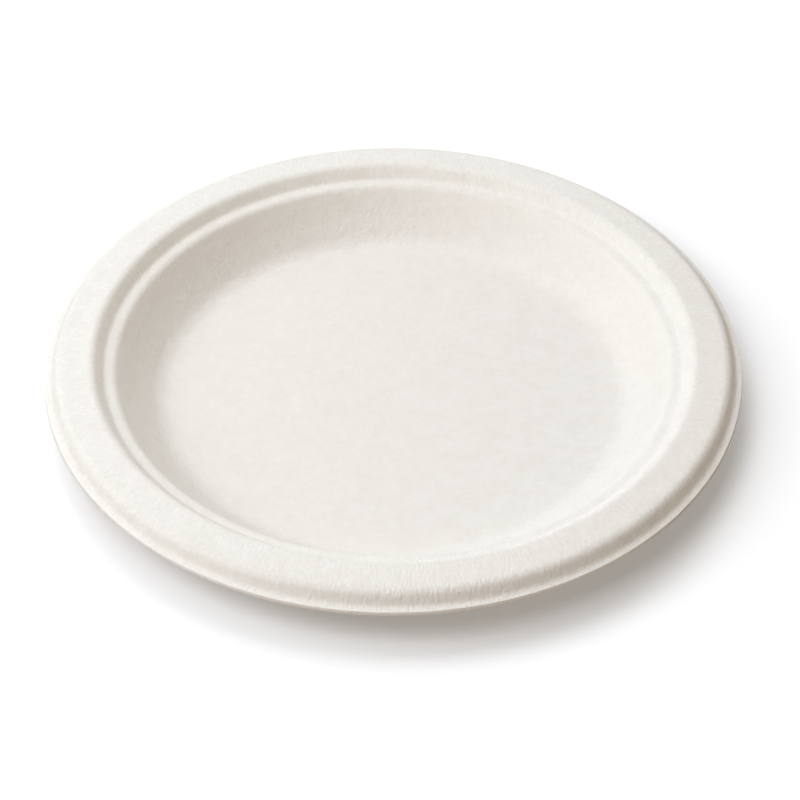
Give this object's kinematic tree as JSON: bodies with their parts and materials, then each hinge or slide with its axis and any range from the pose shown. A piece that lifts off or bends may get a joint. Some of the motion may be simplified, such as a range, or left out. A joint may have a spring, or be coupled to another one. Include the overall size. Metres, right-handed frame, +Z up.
{
  "type": "paper plate",
  "caption": "Shallow round moulded-pulp plate with a flat floor, a curved side wall, a stacking ledge, a broad rim and a short outer skirt with a narrow lip.",
  "frame": {"origin": "centre of the flat underside of the floor, which stands on the table", "axes": "+Z up along the plate's axis, X and Y across it in any direction because the plate is round"},
  "size_m": [0.23, 0.23, 0.02],
  "materials": {
    "moulded_pulp": "matt pressed fibre"
  },
  "bodies": {
    "root": {"plate": "moulded_pulp"}
  },
  "joints": []
}
